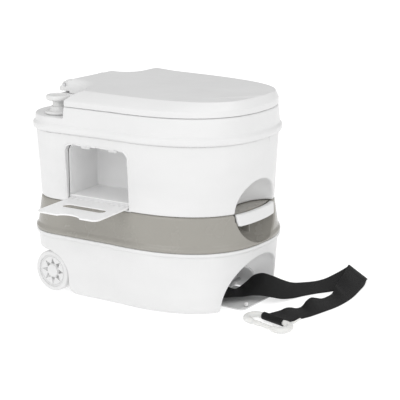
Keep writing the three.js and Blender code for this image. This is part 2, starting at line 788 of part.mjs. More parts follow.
function hookPath() {
  const half = HOOK_STRAIGHT;
  const width = HOOK_HALF;
  const z = (x) => HOOK_BAR_Z + ((x - width) / (2 * width)) * (HOOK_BAR_Z - HOOK_TUBE - 0.5);
  const points = [[-width, half - 8]];
  points.push([-width, half]);
  for (let i = 1; i <= 7; i++) {
    const t = Math.PI - (i / 8) * Math.PI;
    points.push([width * Math.cos(t), half + width * Math.sin(t)]);
  }
  points.push([width, half], [width, 0], [width, -half]);
  for (let i = 1; i <= 7; i++) {
    const t = -(i / 8) * Math.PI;
    points.push([width * Math.cos(t), -half + width * Math.sin(t)]);
  }
  points.push([-width, -half], [-width, -half + 8]);
  return new THREE.CatmullRomCurve3(points.map(([x, y]) => new THREE.Vector3(x, y, z(x))), false, "centripetal");
}

function circleShape(radius, sides) {
  const corner = (i) => {
    const t = (i / sides) * 2 * Math.PI;
    return new THREE.Vector2(radius * Math.cos(t), radius * Math.sin(t));
  };
  return new THREE.Shape(Array.from({ length: sides }, (_, i) => corner(i)));
}

function hookRing() {
  const tube = new THREE.ExtrudeGeometry(circleShape(HOOK_TUBE, 10), { steps: 40, extrudePath: hookPath() });
  return onHook(toSolid(tube)).add(bar("x", 2.3, -81, -37, -322.5, 5.8, 12));
}

const hookGate = () => onHook(bar("y", HOOK_TUBE - 1.2, -24.5, 24.5, -HOOK_HALF, HOOK_TUBE + 0.5, 16));

function tray() {
  const sheet = roundedRect(-43, 43, -205.5, -90, 16);
  return stack([[0.2, sheet], [3, sheet]])
    .intersect(box(-60, 60, -230, POCKET.back - 0.6, 0, 5))
    .subtract(box(-60, 60, -230, -60, -5, 0.2));
}

// ---------------------------------------------------------------- assembly
place("waste_tank_base", wasteBase(), white);
place("waste_tank_top", wasteTop(), taupe);
place("strap_tray", tray(), white);
place("strap_peg", bar("z", 3.6, 3 + GAP, 10.4, -22, -198, 16), white);
place("strap_anchor_bar", bar("x", 3, -58, 58, -127, 17, 16), steel);
place("towing_strap", strap(), webbing);
place("strap_loop", strapLoop(), webbing);
place("hook_ring", hookRing(), natural);
place("hook_gate", hookGate(), natural);
place("axle", bar("x", AXLE_R, -WHEEL_OUTER - 2, WHEEL_OUTER + 2, AXLE_Y, WHEEL_R, 32), steel);
for (const [side, word] of [[-1, "left"], [1, "right"]]) {
  place(`wheel_${word}`, wheel(side), white);
  place(`axle_bracket_${word}`, axleBracket(side), white);
}
place("valve_lower_seal", ring(56, 49, CHANNEL_Z + GAP, BLADE_Z - GAP, [0, BOWL_Y]), rubber);
place("valve_blade", valveBlade(), white);
place("valve_housing", valveHousing(), white);
place("valve_upper_seal", ring(56, 50, 182.2, WASTE_TOP, [0, BOWL_Y]), rubber);
place("valve_guide_cover", guideCover(), taupe);
place("valve_handle", valveHandle(), white);
place("pour_spout", pourSpout(), white);
place("spout_cap", spoutCap(), taupe);
place("vent_button", bar("y", 8.4, 203, 214, VENT.x, VENT.z, 24), white);
place("latch_lever", latchLever(), white);
place("latch_pin", bar("x", 1.8, LATCH.low + GAP, LATCH.high - GAP, LATCH.pinY, LATCH.z, 16), steel);
place("flush_tank_shell", flushShell(), white);
place("flush_tank_deck", deck(), white);
place("bowl", bowl(), white);
place("paper_compartment", paperBox(), white);
place("paper_door", paperDoor(), white);
place("door_hinge_pin", doorPin(), steel);
place("pump_collar", pumpCollar(), white);
place("pump_barrel", pumpBarrel(), white);
place("pump_plunger", pumpPlunger(), white);
place("filler_neck", fillerNeck(), white);
place("filler_cap", fillerCap(), white);
place("seat", seat(), white);
place("lid", lid(), white);
for (const [side, word] of [[-1, "left"], [1, "right"]]) {
  const ends = [side * 29.6, side * 64.4].sort((a, b) => a - b);
  place(`hinge_pin_${word}`, bar("x", PIN_R, ...ends, HINGE_Y, HINGE_Z, 24), steel);
  place(`seat_bumper_front_${word}`, bumper(side * 96, -128, DECK_TOP + GAP, 370), rubber);
  place(`seat_bumper_rear_${word}`, bumper(side * 128, 60, DECK_TOP + GAP, 370), rubber);
}

export default root;
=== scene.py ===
"""Looks of the portable camp toilet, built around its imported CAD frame.

Each piece is a distance field in millimetres, in the part's frame, turned into a mesh in metres.
"""

import json
import math

import bpy
import numpy as np
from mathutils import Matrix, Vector


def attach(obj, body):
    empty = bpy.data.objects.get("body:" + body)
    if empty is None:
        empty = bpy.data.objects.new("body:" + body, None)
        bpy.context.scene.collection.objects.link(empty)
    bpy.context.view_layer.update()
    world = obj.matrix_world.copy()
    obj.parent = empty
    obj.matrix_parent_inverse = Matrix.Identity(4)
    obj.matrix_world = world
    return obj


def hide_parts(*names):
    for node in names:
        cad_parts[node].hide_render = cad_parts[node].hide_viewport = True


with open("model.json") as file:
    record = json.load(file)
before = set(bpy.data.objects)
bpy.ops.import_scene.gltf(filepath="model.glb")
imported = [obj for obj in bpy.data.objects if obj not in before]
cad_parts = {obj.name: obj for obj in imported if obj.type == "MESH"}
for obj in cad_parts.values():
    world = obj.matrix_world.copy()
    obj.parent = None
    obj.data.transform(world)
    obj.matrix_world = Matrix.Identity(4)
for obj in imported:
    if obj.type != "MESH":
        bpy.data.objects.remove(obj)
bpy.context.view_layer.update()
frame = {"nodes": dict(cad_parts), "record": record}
MM = 0.001

# ---------------------------------------------------------------- camera
LENS_MM, SENSOR_MM = 111.35, 36
CAMERA_AT = (-1.8508, -1.3835, 0.7972)
CAMERA_AIM = (0.0017, -0.0733, 0.1797)

camera_data = bpy.data.cameras.new("camera")
camera_data.lens = LENS_MM
camera_data.sensor_width = SENSOR_MM
camera = bpy.data.objects.new("camera", camera_data)
bpy.context.scene.collection.objects.link(camera)
camera.location = CAMERA_AT
camera.rotation_euler = (Vector(CAMERA_AIM) - Vector(CAMERA_AT)).to_track_quat("-Z", "Y").to_euler()
bpy.context.scene.camera = camera

# ---------------------------------------------------------------- dimensions shared with the CAD
TANK_WALL = 5
LID_WALL = 3.5
BOWL_Y = -20
HINGE_Y, HINGE_Z = 202, 383
PUMP = (-140, 152)
FILLER = (124, 184)
SHELF_Z = 345
DECK_TOP = 367
LID_TOP = 394
WASTE_TOP = 186
PAPER_Y, PAPER_HALF, PAPER_TOP, PAPER_BOTTOM = 39, 69, 297, 189.4
AXLE_Y, WHEEL_R = 156, 40
WHEEL_INNER, WHEEL_FACE = 142, 168
WHEEL_ROOM = 4.5
SPOUT_X, SPOUT_Y, SPOUT_Z = 104, 186, 157.5
LATCH_LOW, LATCH_HIGH = -72, -14
VENT_X, VENT_Z = -96, 160
HOOK_MIDDLE = (-87.5, -285)
HOOK_TURN = -0.2
HOOK_TUBE = 5
HOOK_HALF, HOOK_STRAIGHT = 14.5, 33
HOOK_BAR_Z = 9
HOOK_LOW_Z = HOOK_TUBE + 0.5

PIN_CLEAR = 3.3
HINGE_FOOT_X, SEAT_ARM_X, LID_EAR_X = 48, 35.6, 59.6
HINGE_FOOT_HALF, SEAT_ARM_HALF, LID_EAR_HALF = 6, 5.6, 4.9
DOOR_AXIS_U, DOOR_AXIS_Z = 2.2, 192.2
DOOR_REACH = 101.8
SLIDE_HALF = 63.3


# ---------------------------------------------------------------- materials
def node_material(name, roughness, metallic=0.0):
    material = bpy.data.materials.new(name)
    material.use_nodes = True
    shader = material.node_tree.nodes["Principled BSDF"]
    shader.inputs["Roughness"].default_value = roughness
    shader.inputs["Metallic"].default_value = metallic
    return material, material.node_tree, shader


def add_node(tree, kind, settings=(), **inputs):
    node = tree.nodes.new(kind)
    for key, value in dict(settings).items():
        setattr(node, key, value)
    for key, value in inputs.items():
        node.inputs[key.replace("_", " ")].default_value = value
    return node


def noise(tree, scale, detail, stretch=(1, 1, 1)):
    """A noise value in the piece's own space, stretched along its axes."""
    coordinate = add_node(tree, "ShaderNodeTexCoord")
    mapping = add_node(tree, "ShaderNodeMapping", Scale=stretch)
    texture = add_node(tree, "ShaderNodeTexNoise", Scale=scale, Detail=detail)
    tree.links.new(coordinate.outputs["Object"], mapping.inputs["Vector"])
    tree.links.new(mapping.outputs["Vector"], texture.inputs["Vector"])
    return texture.outputs["Fac"]


def spread_of(tree, value, low, high, to_low, to_high):
    node = add_node(tree, "ShaderNodeMapRange")
    for key, number in (("From Min", low), ("From Max", high), ("To Min", to_low), ("To Max", to_high)):
        node.inputs[key].default_value = number
    tree.links.new(value, node.inputs["Value"])
    return node.outputs["Result"]


def mixed(tree, share, first, second):
    node = add_node(tree, "ShaderNodeMix", {"data_type": "RGBA"})
    node.inputs["A"].default_value = (*first, 1)
    node.inputs["B"].default_value = (*second, 1)
    tree.links.new(share, node.inputs["Factor"])
    return node.outputs["Result"]


def bump(tree, shader, height, strength, distance):
    node = add_node(tree, "ShaderNodeBump", Strength=strength, Distance=distance)
    tree.links.new(height, node.inputs["Height"])
    tree.links.new(node.outputs["Normal"], shader.inputs["Normal"])


DULLER = 0.965


def moulded(name, colour, roughness, grain=0.12, cloudy=0.0):
    """Injection-moulded plastic: a faint flow pattern, a fine spark-eroded grain and uneven gloss."""
    material, tree, shader = node_material(name, roughness)
    dull = tuple(c * DULLER for c in colour)
    flow = spread_of(tree, noise(tree, 9, 3, (1, 1, 2.2)), 0.35, 0.68, 0, 1)
    tree.links.new(mixed(tree, flow, dull, colour), shader.inputs["Base Color"])
    gloss = spread_of(tree, noise(tree, 26, 4), 0.3, 0.7, roughness - 0.05, roughness + 0.06)
    tree.links.new(gloss, shader.inputs["Roughness"])
    bump(tree, shader, noise(tree, 1500, 2), grain, 0.00025)
    if cloudy:
        shader.inputs["Subsurface Weight"].default_value = cloudy
        shader.inputs["Subsurface Radius"].default_value = (1.0, 0.96, 0.9)
        shader.inputs["Subsurface Scale"].default_value = 0.006
    return material


def drawn_rod(name):
    material, tree, shader = node_material(name, 0.32, 1.0)
    lines = noise(tree, 420, 3, (0.04, 1, 1))
    tree.links.new(mixed(tree, lines, (0.5, 0.5, 0.51), (0.68, 0.68, 0.69)), shader.inputs["Base Color"])
    tree.links.new(spread_of(tree, lines, 0.3, 0.7, 0.24, 0.42), shader.inputs["Roughness"])
    bump(tree, shader, lines, 0.15, 0.0002)
    return material


def soft_rubber(name):
    material, tree, shader = node_material(name, 0.75)
    specks = noise(tree, 700, 3)
    black = mixed(tree, specks, (0.022, 0.022, 0.023), (0.045, 0.045, 0.044))
    tree.links.new(black, shader.inputs["Base Color"])
    tree.links.new(spread_of(tree, noise(tree, 60, 3), 0.3, 0.7, 0.66, 0.84), shader.inputs["Roughness"])
    bump(tree, shader, specks, 0.3, 0.0003)
    return material


def woven(name):
    """Polypropylene webbing: crossing diagonal ribs, laid out by the cloth's own length and width."""
    material, tree, shader = node_material(name, 0.5)
    place_on = add_node(tree, "ShaderNodeAttribute", {"attribute_name": "webbing"})
    split = add_node(tree, "ShaderNodeSeparateXYZ")
    tree.links.new(place_on.outputs["Vector"], split.inputs["Vector"])

    def wave(across, along, pitch):
        """A ridge pattern across the direction given, from 0 to 1."""
        first = add_node(tree, "ShaderNodeMath", {"operation": "MULTIPLY"})
        first.inputs[1].default_value = across * 2 * math.pi / pitch
        second = add_node(tree, "ShaderNodeMath", {"operation": "MULTIPLY_ADD"})
        second.inputs[1].default_value = along * 2 * math.pi / pitch
        sine = add_node(tree, "ShaderNodeMath", {"operation": "SINE"})
        tree.links.new(split.outputs["Y"], first.inputs[0])
        tree.links.new(split.outputs["X"], second.inputs[0])
        tree.links.new(first.outputs[0], second.inputs[2])
        tree.links.new(second.outputs[0], sine.inputs[0])
        return spread_of(tree, sine.outputs[0], -1, 1, 0, 1)

    lean, pitch = 0.55, 1.7
    twill = wave(1.0, lean, pitch)
    counter = wave(1.0, -lean, pitch)
    height = add_node(tree, "ShaderNodeMath", {"operation": "MAXIMUM"})
    tree.links.new(twill, height.inputs[0])
    tree.links.new(counter, height.inputs[1])
    fuzz = noise(tree, 900, 3)
    relief = add_node(tree, "ShaderNodeMath", {"operation": "MULTIPLY_ADD"})
    relief.inputs[1].default_value = 0.35
    tree.links.new(fuzz, relief.inputs[0])
    tree.links.new(height.outputs[0], relief.inputs[2])
    shade = spread_of(tree, relief.outputs[0], 0.3, 1.3, 0, 1)
    black = mixed(tree, shade, (0.0012, 0.0012, 0.0013), (0.007, 0.007, 0.0074))
    tree.links.new(black, shader.inputs["Base Color"])
    tree.links.new(spread_of(tree, fuzz, 0.3, 0.7, 0.42, 0.6), shader.inputs["Roughness"])
    shader.inputs["Specular IOR Level"].default_value = 0.2
    bump(tree, shader, relief.outputs[0], 0.5, 0.0006)
    return material


WHITE = moulded("white_moulded", (0.7, 0.7, 0.7), 0.33)
TAUPE = moulded("taupe_moulded", (0.3, 0.288, 0.26), 0.24)
SMOOTH_WHITE = moulded("white_polished", (0.7, 0.7, 0.697), 0.24, 0.05)
# Painted light: a lighter copy of the white plastic for the paper compartment and its door, standing in for
# the light that falls into the compartment
LIT_WHITE = moulded("white_painted_light", (0.82, 0.82, 0.82), 0.4)
CLOUDY = moulded("cloudy_plastic", (0.69, 0.69, 0.677), 0.36, 0.1, 0.35)
STEEL = drawn_rod("drawn_steel")
RUBBER = soft_rubber("black_rubber")
WEBBING = woven("black_webbing")
SLOT_LOOK = {
    "white_shell": SMOOTH_WHITE,
    "taupe_shell": TAUPE,
    "hook_plastic": CLOUDY,
    "rubber": RUBBER,
    "steel": STEEL,
    "webbing": WEBBING,
}
SLOT_OF = {entry["node"]: entry["material_slot"] for entry in frame["record"]["subparts"]}
BODY_OF = {node: body for body, nodes in frame["record"]["behaviour"]["bodies"].items() for node in nodes}
for name, node in frame["nodes"].items():
    node.data.materials.clear()
    node.data.materials.append(SLOT_LOOK[SLOT_OF[name]])


# ---------------------------------------------------------------- distance fields
def length(*parts):
    return np.sqrt(sum(p * p for p in parts))


def both(a, b, radius=0.0):
    """What lies in a and in b, with a rounded edge where they meet."""
    if not radius:
        return np.maximum(a, b)
    corner = length(np.maximum(a + radius, 0), np.maximum(b + radius, 0))
    return np.minimum(np.maximum(a, b), -radius) + corner


def either(a, b, radius=0.0):
    """What lies in a or in b, with a fillet where they meet."""
    return -both(-a, -b, radius)


def cut(a, b, radius=0.0):
    return both(a, -b, radius)


def block(x, y, z, low, high, radius=0.0):
    sides = [np.abs(p - (l + h) / 2) - (h - l) / 2 + radius for p, l, h in zip((x, y, z), low, high)]
    outside = length(*(np.maximum(s, 0) for s in sides))
    return outside + np.minimum(np.maximum(np.maximum(sides[0], sides[1]), sides[2]), 0) - radius


def rectangle(x, y, low, high, radius=0.0):
    sides = [np.abs(p - (l + h) / 2) - (h - l) / 2 + radius for p, l, h in zip((x, y), low, high)]
    return length(*(np.maximum(s, 0) for s in sides)) + np.minimum(np.maximum(*sides), 0) - radius


def span(v, low, high):
    return np.abs(v - (low + high) / 2) - (high - low) / 2


def rod(radial_a, radial_b, along, radius, low, high, edge=0.0):
    """A round bar; radial_a and radial_b are measured from its axis."""
    return both(length(radial_a, radial_b) - radius, span(along, low, high), edge)


def ellipsoid(x, y, z, centre, semi):
    p = [(v - c) for v, c in zip((x, y, z), centre)]
    k0 = length(*(v / s for v, s in zip(p, semi)))
    k1 = length(*(v / s**2 for v, s in zip(p, semi)))
    return k0 * (k0 - 1) / np.maximum(k1, 1e-6)


def ellipse(x, y, centre, a, b):
    dx, dy = x - centre[0], y - centre[1]
    k0 = length(dx / a, dy / b)
    k1 = length(dx / a**2, dy / b**2)
    return k0 * (k0 - 1) / np.maximum(k1, 1e-6)


class Plan:
    """Signed distance to a closed outline, sampled once and read between the samples."""

    STEP = 1.0
    MARGIN = 24

    def __init__(self, points):
        self.low = points.min(0) - self.MARGIN
        count = np.ceil((points.max(0) + self.MARGIN - self.low) / self.STEP).astype(int) + 1
        x = self.low[0] + self.STEP * np.arange(count[0])[:, None]
        y = self.low[1] + self.STEP * np.arange(count[1])[None, :]
        nearest = np.full(count, 1e12)
        inside = np.zeros(count, bool)
        for (ax, ay), (bx, by) in zip(points, np.roll(points, -1, 0)):
            ex, ey = bx - ax, by - ay
            t = np.clip(((x - ax) * ex + (y - ay) * ey) / (ex * ex + ey * ey), 0, 1)
            nearest = np.minimum(nearest, (x - ax - t * ex) ** 2 + (y - ay - t * ey) ** 2)
            if ay != by:
                crosses = ((ay > y) != (by > y)) & (x < (y - ay) * ex / ey + ax)
                inside ^= crosses
        self.field = np.where(inside, -1, 1) * np.sqrt(nearest)

    def __call__(self, x, y):
        u = np.clip((x - self.low[0]) / self.STEP, 0, self.field.shape[0] - 1.001)
        v = np.clip((y - self.low[1]) / self.STEP, 0, self.field.shape[1] - 1.001)
        i, j = u.astype(int), v.astype(int)
        u, v = u - i, v - j
        f = self.field
        near = f[i, j] * (1 - u) + f[i + 1, j] * u
        far = f[i, j + 1] * (1 - u) + f[i + 1, j + 1] * u
        return near * (1 - v) + far * v


def outline(side, rear_half, front, rear, shoulder, corner, power, steps=90):
    """A super-elliptic front, sides that widen to the rear, and two round rear corners."""
    t = np.linspace(0, math.pi / 2, steps)
    across, along = np.sin(t) ** (2 / power), np.cos(t) ** (2 / power)
    nose = np.stack([side * across, shoulder - (shoulder - front) * along], 1)
    t = np.linspace(0, math.pi / 2, 30)
    back = np.stack([rear_half - corner + corner * np.cos(t), rear - corner + corner * np.sin(t)], 1)
    half = np.concatenate([nose, back])
    return np.concatenate([half, half[:0:-1] * (-1, 1)])


def profile(points, soften=1.0):
    """Inset of a wall by height, with its corners eased."""
    heights, insets = np.array(points, float).T
    z = np.arange(heights[0] - 12, heights[-1] + 12, 0.1)
    value = np.interp(z, heights, insets)
    kernel = np.exp(-0.5 * (np.arange(-30, 31) * 0.1 / soften) ** 2)
    eased = np.convolve(np.pad(value, 30, mode="edge"), kernel / kernel.sum(), mode="valid")
    return lambda at: np.interp(at, z, eased)


rim = Plan(outline(170, 180.7, -216, 216, 4, 74, 2.4))
lid_flat = Plan(outline(140, 150, -205, 191, 87, 50, 3.2))

# ---------------------------------------------------------------- from a field to a mesh
CORNERS = np.array([(i, j, k) for i in (0, 1) for j in (0, 1) for k in (0, 1)])
EDGES = [(a, b) for a in range(8) for b in range(a, 8) if np.abs(CORNERS[a] - CORNERS[b]).sum() == 1]


def slope(field, points, step):
    ahead = []
    for axis in range(3):
        shift = np.zeros(3)
        shift[axis] = step
        ahead.append(field(*(points + shift).T) - field(*(points - shift).T))
    return np.stack(ahead, 1) / (2 * step)


def settle(field, points, cell, rounds):
    for _ in range(rounds):
        value = field(*points.T)
        way = slope(field, points, 0.05)
        move = -value[:, None] * way / np.maximum((way**2).sum(1), 1e-3)[:, None]
        far = np.maximum(np.linalg.norm(move, axis=1) / (0.6 * cell), 1)
        points = points + move / far[:, None]
    return points


def contour(field, low, high, cell):
    """Points and faces of the surface where the field is 0."""
    low = np.array(low, float) - 1.6 * cell
    counts = np.ceil((np.array(high, float) + 1.6 * cell - low) / cell).astype(int) + 1
    x, y = np.meshgrid(*(low[i] + cell * np.arange(counts[i]) for i in (0, 1)), indexing="ij")
    values = np.stack([field(x, y, np.full_like(x, low[2] + cell * k)) for k in range(counts[2])], 2)
    inside = values < 0
    total = sum(
        inside[i : counts[0] - 1 + i, j : counts[1] - 1 + j, k : counts[2] - 1 + k].astype(np.int8)
        for i, j, k in CORNERS
    )
    active = (total > 0) & (total < 8)
    cells = np.argwhere(active)
    index = np.full(active.shape, -1)
    index[active] = np.arange(len(cells))
    middle, hits = np.zeros((len(cells), 3)), np.zeros(len(cells))
    for a, b in EDGES:
        first = values[tuple((cells + CORNERS[a]).T)]
        second = values[tuple((cells + CORNERS[b]).T)]
        crossed = (first < 0) != (second < 0)
        t = first[crossed] / (first[crossed] - second[crossed])
        middle[crossed] += CORNERS[a] + (CORNERS[b] - CORNERS[a]) * t[:, None]
        hits[crossed] += 1
    points = low + cell * (cells + middle / hits[:, None])
    faces = []
    for axis in range(3):
        u, v = (axis + 1) % 3, (axis + 2) % 3
        lower = inside[tuple(slice(0, -1) if a == axis else slice(1, -1) for a in range(3))]
        upper = inside[tuple(slice(1, None) if a == axis else slice(1, -1) for a in range(3))]
        at = np.argwhere(lower != upper)
        outward = lower[tuple(at.T)]
        at[:, [u, v]] += 1
        ring = []
        for du, dv in ((0, 0), (1, 0), (1, 1), (0, 1)):
            neighbour = at.copy()
            neighbour[:, u] -= du
            neighbour[:, v] -= dv
            ring.append(index[tuple(neighbour.T)])
        quads = np.stack(ring, 1)
        quads[~outward] = quads[~outward][:, ::-1]
        faces.append(quads)
    return settle(field, points, cell, 2), np.concatenate(faces)


def new_mesh(name, points, faces):
    mesh = bpy.data.meshes.new(name)
    mesh.vertices.add(len(points))
    mesh.vertices.foreach_set("co", np.asarray(points, np.float32).ravel())
    corners = np.asarray(faces).ravel()
    mesh.loops.add(len(corners))
    mesh.loops.foreach_set("vertex_index", corners.astype(np.int32))
    mesh.polygons.add(len(faces))
    size = np.asarray(faces).shape[1]
    mesh.polygons.foreach_set("loop_start", np.arange(0, len(corners), size, dtype=np.int32))
    mesh.update(calc_edges=True)
    mesh.shade_smooth()
    return mesh


def own(obj, node, material):
    """obj stands for a CAD node, in its body and material slot."""
    obj.data.materials.append(material)
    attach(obj, BODY_OF[node])
    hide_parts(node)
    return obj


def solid(node, field, low, high, cell, triangles, material=None):
    """Replaces a CAD node by the surface of a field, with the field's own normals.

    cell is the sampling step, and the mesh is thinned to about as many triangles as given.
    """
    points, faces = contour(field, low, high, cell)
    obj = bpy.data.objects.new(f"{node}_look", new_mesh(f"{node}_look", points, faces))
    bpy.context.scene.collection.objects.link(obj)
    thin = obj.modifiers.new("thin", "DECIMATE")
    thin.ratio = min(1.0, triangles / (2 * len(faces)))
    graph = bpy.context.evaluated_depsgraph_get()
    mesh = bpy.data.meshes.new_from_object(obj.evaluated_get(graph))
    obj.modifiers.clear()
    obj.data = mesh
    at = np.zeros(len(mesh.vertices) * 3, np.float32)
    mesh.vertices.foreach_get("co", at)
    at = settle(field, at.reshape(-1, 3).astype(float), cell, 1)
    normals = slope(field, at, 0.4 * cell)
    normals /= np.maximum(np.linalg.norm(normals, axis=1), 1e-9)[:, None]
    mesh.vertices.foreach_set("co", (at * MM).astype(np.float32).ravel())
    mesh.update()
    mesh.shade_smooth()
    mesh.normals_split_custom_set_from_vertices(normals)
    return own(obj, node, material or SLOT_LOOK[SLOT_OF[node]])


# ---------------------------------------------------------------- towing strap
STRAP_ROUTE = [
    [[-46, -132, 17], [4, -132, 17]],
    [[-47, -146, 15.5], [2, -137, 18]],
    [[-44, -161, 14.5], [2, -142, 18]],
    [[-31, -172, 14.5], [12, -149, 13.5]],
    [[-16, -184, 13], [25, -162, 25]],
    [[-4, -199, 15], [32, -178, 42]],
    [[5, -216, 15], [36, -195, 48]],
    [[13, -231, 12.5], [46, -209, 43]],
    [[31, -242, 6.5], [69, -219, 30]],
    [[57, -250, 2.2], [97, -224, 17.5]],
    [[83, -259, 1.4], [124, -233, 12]],
    [[109, -272, 1.3], [150, -246, 10]],
    [[132, -287, 1.3], [168, -256, 12]],
    [[158, -300, 1.3], [188, -263, 16]],
    [[192, -309, 1.3], [211, -267, 19]],
    [[224, -313, 1.3], [231, -268, 20.5]],
    [[233.5, -315, 3.4], [238.5, -270, 23]],
    [[224, -318, 5.4], [229, -273.5, 27]],
    [[200, -326, 3], [206, -281.5, 25.5]],
    [[169, -332, 1.6], [180, -289, 22]],
    [[134, -338.5, 1.3], [148, -292.5, 13]],
    [[107.4, -341, 1.3], [131.5, -299, 14.2]],
    [[86, -341, 1.3], [115.8, -301, 5.6]],
    [[68, -340, 1.3], [98.3, -300, 3.8]],
    [[51, -337.5, 1.3], [81.2, -297.6, 4.6]],
    [[35, -334.5, 1.3], [64, -294.7, 10.4]],
    [[20, -331.5, 1.3], [48.7, -292.7, 14.8]],
    [[7, -328.5, 1.3], [37.9, -290.5, 11.9]],
    [[-6, -325, 1.3], [26.8, -287, 2.8]],
    [[-19, -320.5, 1.3], [14, -283.3, 2.2]],
    [[-32, -315.5, 1.3], [1.5, -278.7, 6.5]],
    [[-46, -312.5, 1.7], [-12, -276, 9.3]],
    [[-58, -312, 4], [-27, -272.5, 8]],
    [[-70.2, -313.5, 9.5], [-60.4, -264.5, 9.5]],
]
STRAP_THICK = 1.9


def eased_line(points, per_span):
    """A centripetal Catmull-Rom curve through the points, and its direction."""
    points = np.array(points, float)
    points = np.concatenate([[2 * points[0] - points[1]], points, [2 * points[-1] - points[-2]]])
    line, ways = [], []
    for k in range(1, len(points) - 2):
        p0, p1, p2, p3 = points[k - 1 : k + 3]
        d0, d1, d2 = (math.sqrt(np.linalg.norm(b - a)) for a, b in ((p0, p1), (p1, p2), (p2, p3)))
        m1 = ((p1 - p0) / d0 - (p2 - p0) / (d0 + d1) + (p2 - p1) / d1) * d1
        m2 = ((p2 - p1) / d1 - (p3 - p1) / (d1 + d2) + (p3 - p2) / d2) * d1
        c2 = -3 * p1 + 3 * p2 - 2 * m1 - m2
        c3 = 2 * p1 - 2 * p2 + m1 + m2
        last = k == len(points) - 3
        for t in np.arange(per_span + (1 if last else 0)) / per_span:
            line.append(p1 + m1 * t + c2 * t**2 + c3 * t**3)
            ways.append(m1 + 2 * c2 * t + 3 * c3 * t**2)
    return np.array(line), np.array(ways)


def webbing_mesh(name, near, far, along, thick, columns=10):
    """A flat band between two edges, with rounded selvedges; along is the run from its start."""
    across = far - near
    width = np.linalg.norm(across, axis=1)
    way = np.gradient((near + far) / 2, axis=0)
    up = np.cross(across, way)
    up /= np.linalg.norm(up, axis=1)[:, None]
    shares = np.concatenate([[0, 0.012], np.linspace(0.03, 0.97, columns), [0.988, 1]])
    lift = np.concatenate([[0, 0.75], np.ones(columns), [0.75, 0]]) * thick / 2
    section = list(zip(shares, lift)) + list(zip(shares[-2:0:-1], -lift[-2:0:-1]))
    points, place_on = [], []
    for s, l in section:
        points.append(near + across * s + up * l)
        place_on.append(np.stack([along, s * width, np.zeros_like(along)], 1))
    rows, count = len(near), len(section)
    points = np.stack(points, 1).reshape(-1, 3)
    place_on = np.stack(place_on, 1).reshape(-1, 3)
    i, j = np.meshgrid(np.arange(rows - 1), np.arange(count), indexing="ij")
    a, b = i * count + j, i * count + (j + 1) % count
    faces = np.stack([a, b, b + count, a + count], -1).reshape(-1, 4)
    ends = []
    for start, turn in ((0, 1), ((rows - 1) * count, -1)):
        top = len(shares)
        for k in range(top - 1):
            other = (count - k) % count
            other_next = count - k - 1
            quad = [start + k, start + k + 1, start + other_next, start + other]
            ends.append(quad[:: -turn])
    mesh = new_mesh(name, points * MM, np.concatenate([faces, np.array(ends)]))
    mesh.validate()
    attribute = mesh.attributes.new("webbing", "FLOAT_VECTOR", "POINT")
    attribute.data.foreach_set("vector", place_on.astype(np.float32).ravel())
    obj = bpy.data.objects.new(name, mesh)
    bpy.context.scene.collection.objects.link(obj)
    return obj


near_line, _ = eased_line([near for near, _ in STRAP_ROUTE], 12)
far_line, _ = eased_line([far for _, far in STRAP_ROUTE], 12)
middle_line = (near_line + far_line) / 2
run = np.concatenate([[0], np.cumsum(np.linalg.norm(np.diff(middle_line, axis=0), axis=1))])
strap = own(webbing_mesh("towing_strap_look", near_line, far_line, run, STRAP_THICK), "towing_strap", WEBBING)


def on_hook(x, y, z):
    """Part coordinates to the hook's own, its long side along Y."""
    c, s = math.cos(HOOK_TURN), math.sin(HOOK_TURN)
    dx, dy = x - HOOK_MIDDLE[0], y - HOOK_MIDDLE[1]
    return c * dx + s * dy, -s * dx + c * dy, z


def hook_line():
    half, width = HOOK_STRAIGHT, HOOK_HALF
    arc = np.linspace(0, math.pi, 13)
    top = [(-width * math.cos(t), half + width * math.sin(t)) for t in arc]
    low = [(width * math.cos(t), -half - width * math.sin(t)) for t in arc]
    points = np.array([(-width, half - 8), *top, *low, (-width, 8 - half)])
    z = HOOK_BAR_Z + (points[:, 0] - width) / (2 * width) * (HOOK_BAR_Z - HOOK_LOW_Z)
    return np.column_stack([points, z])


def tube_field(line, radius):
    def field(x, y, z):
        x, y, z = on_hook(x, y, z)
        nearest = np.full(np.shape(x), 1e9)
        for a, b in zip(line[:-1], line[1:]):
            e = b - a
            t = np.clip(((x - a[0]) * e[0] + (y - a[1]) * e[1] + (z - a[2]) * e[2]) / (e @ e), 0, 1)
            gap = length(x - a[0] - t * e[0], y - a[1] - t * e[1], z - a[2] - t * e[2])
            nearest = np.minimum(nearest, gap)
        return nearest - radius

    return field


hook_tube = tube_field(hook_line(), HOOK_TUBE)


def hook_ring_field(x, y, z):
    """The open ring, broader in plan at its round ends, with the collars of its gate and a prong."""
    f = hook_tube(x, y, z)
    u, v, w = on_hook(x, y, z)
    aside = np.sqrt(np.maximum((f + HOOK_TUBE) ** 2 - (w - HOOK_LOW_Z) ** 2, 0))
    thick = length(np.maximum(aside - 1.8, 0), w - HOOK_LOW_Z) - HOOK_TUBE
    f = either(f, np.maximum(thick, 30 - np.abs(v)), 2)
    collar = rod(u + HOOK_HALF, w - HOOK_LOW_Z, np.abs(v), HOOK_TUBE + 0.4, 25, 30, 1)
    f = either(f, collar, 1.5)
    taper = 2.5 - np.clip(x + 78, 0, 41) * 0.017
    prong = both(length(y + 322.5, z - 5.8) - taper, span(x, -80, -37), 1.2)
    return either(f, prong, 2)


def hook_gate_field(x, y, z):
    u, v, w = on_hook(x, y, z)
    gate = rod(u + HOOK_HALF, w - HOOK_LOW_Z, v, HOOK_TUBE - 1.0, -24.5, 24.5, 1)
    grip = rod(u + HOOK_HALF, w - HOOK_LOW_Z, v, HOOK_TUBE - 0.3, 6, 18, 1.2)
    return either(gate, grip, 1)


hook = solid("hook_ring", hook_ring_field, (-123, -344, 0), (-36, -226, 15), 1.0, 9000)
gate = solid("hook_gate", hook_gate_field, (-113, -313, 0), (-90, -251, 12), 0.8, 2500)


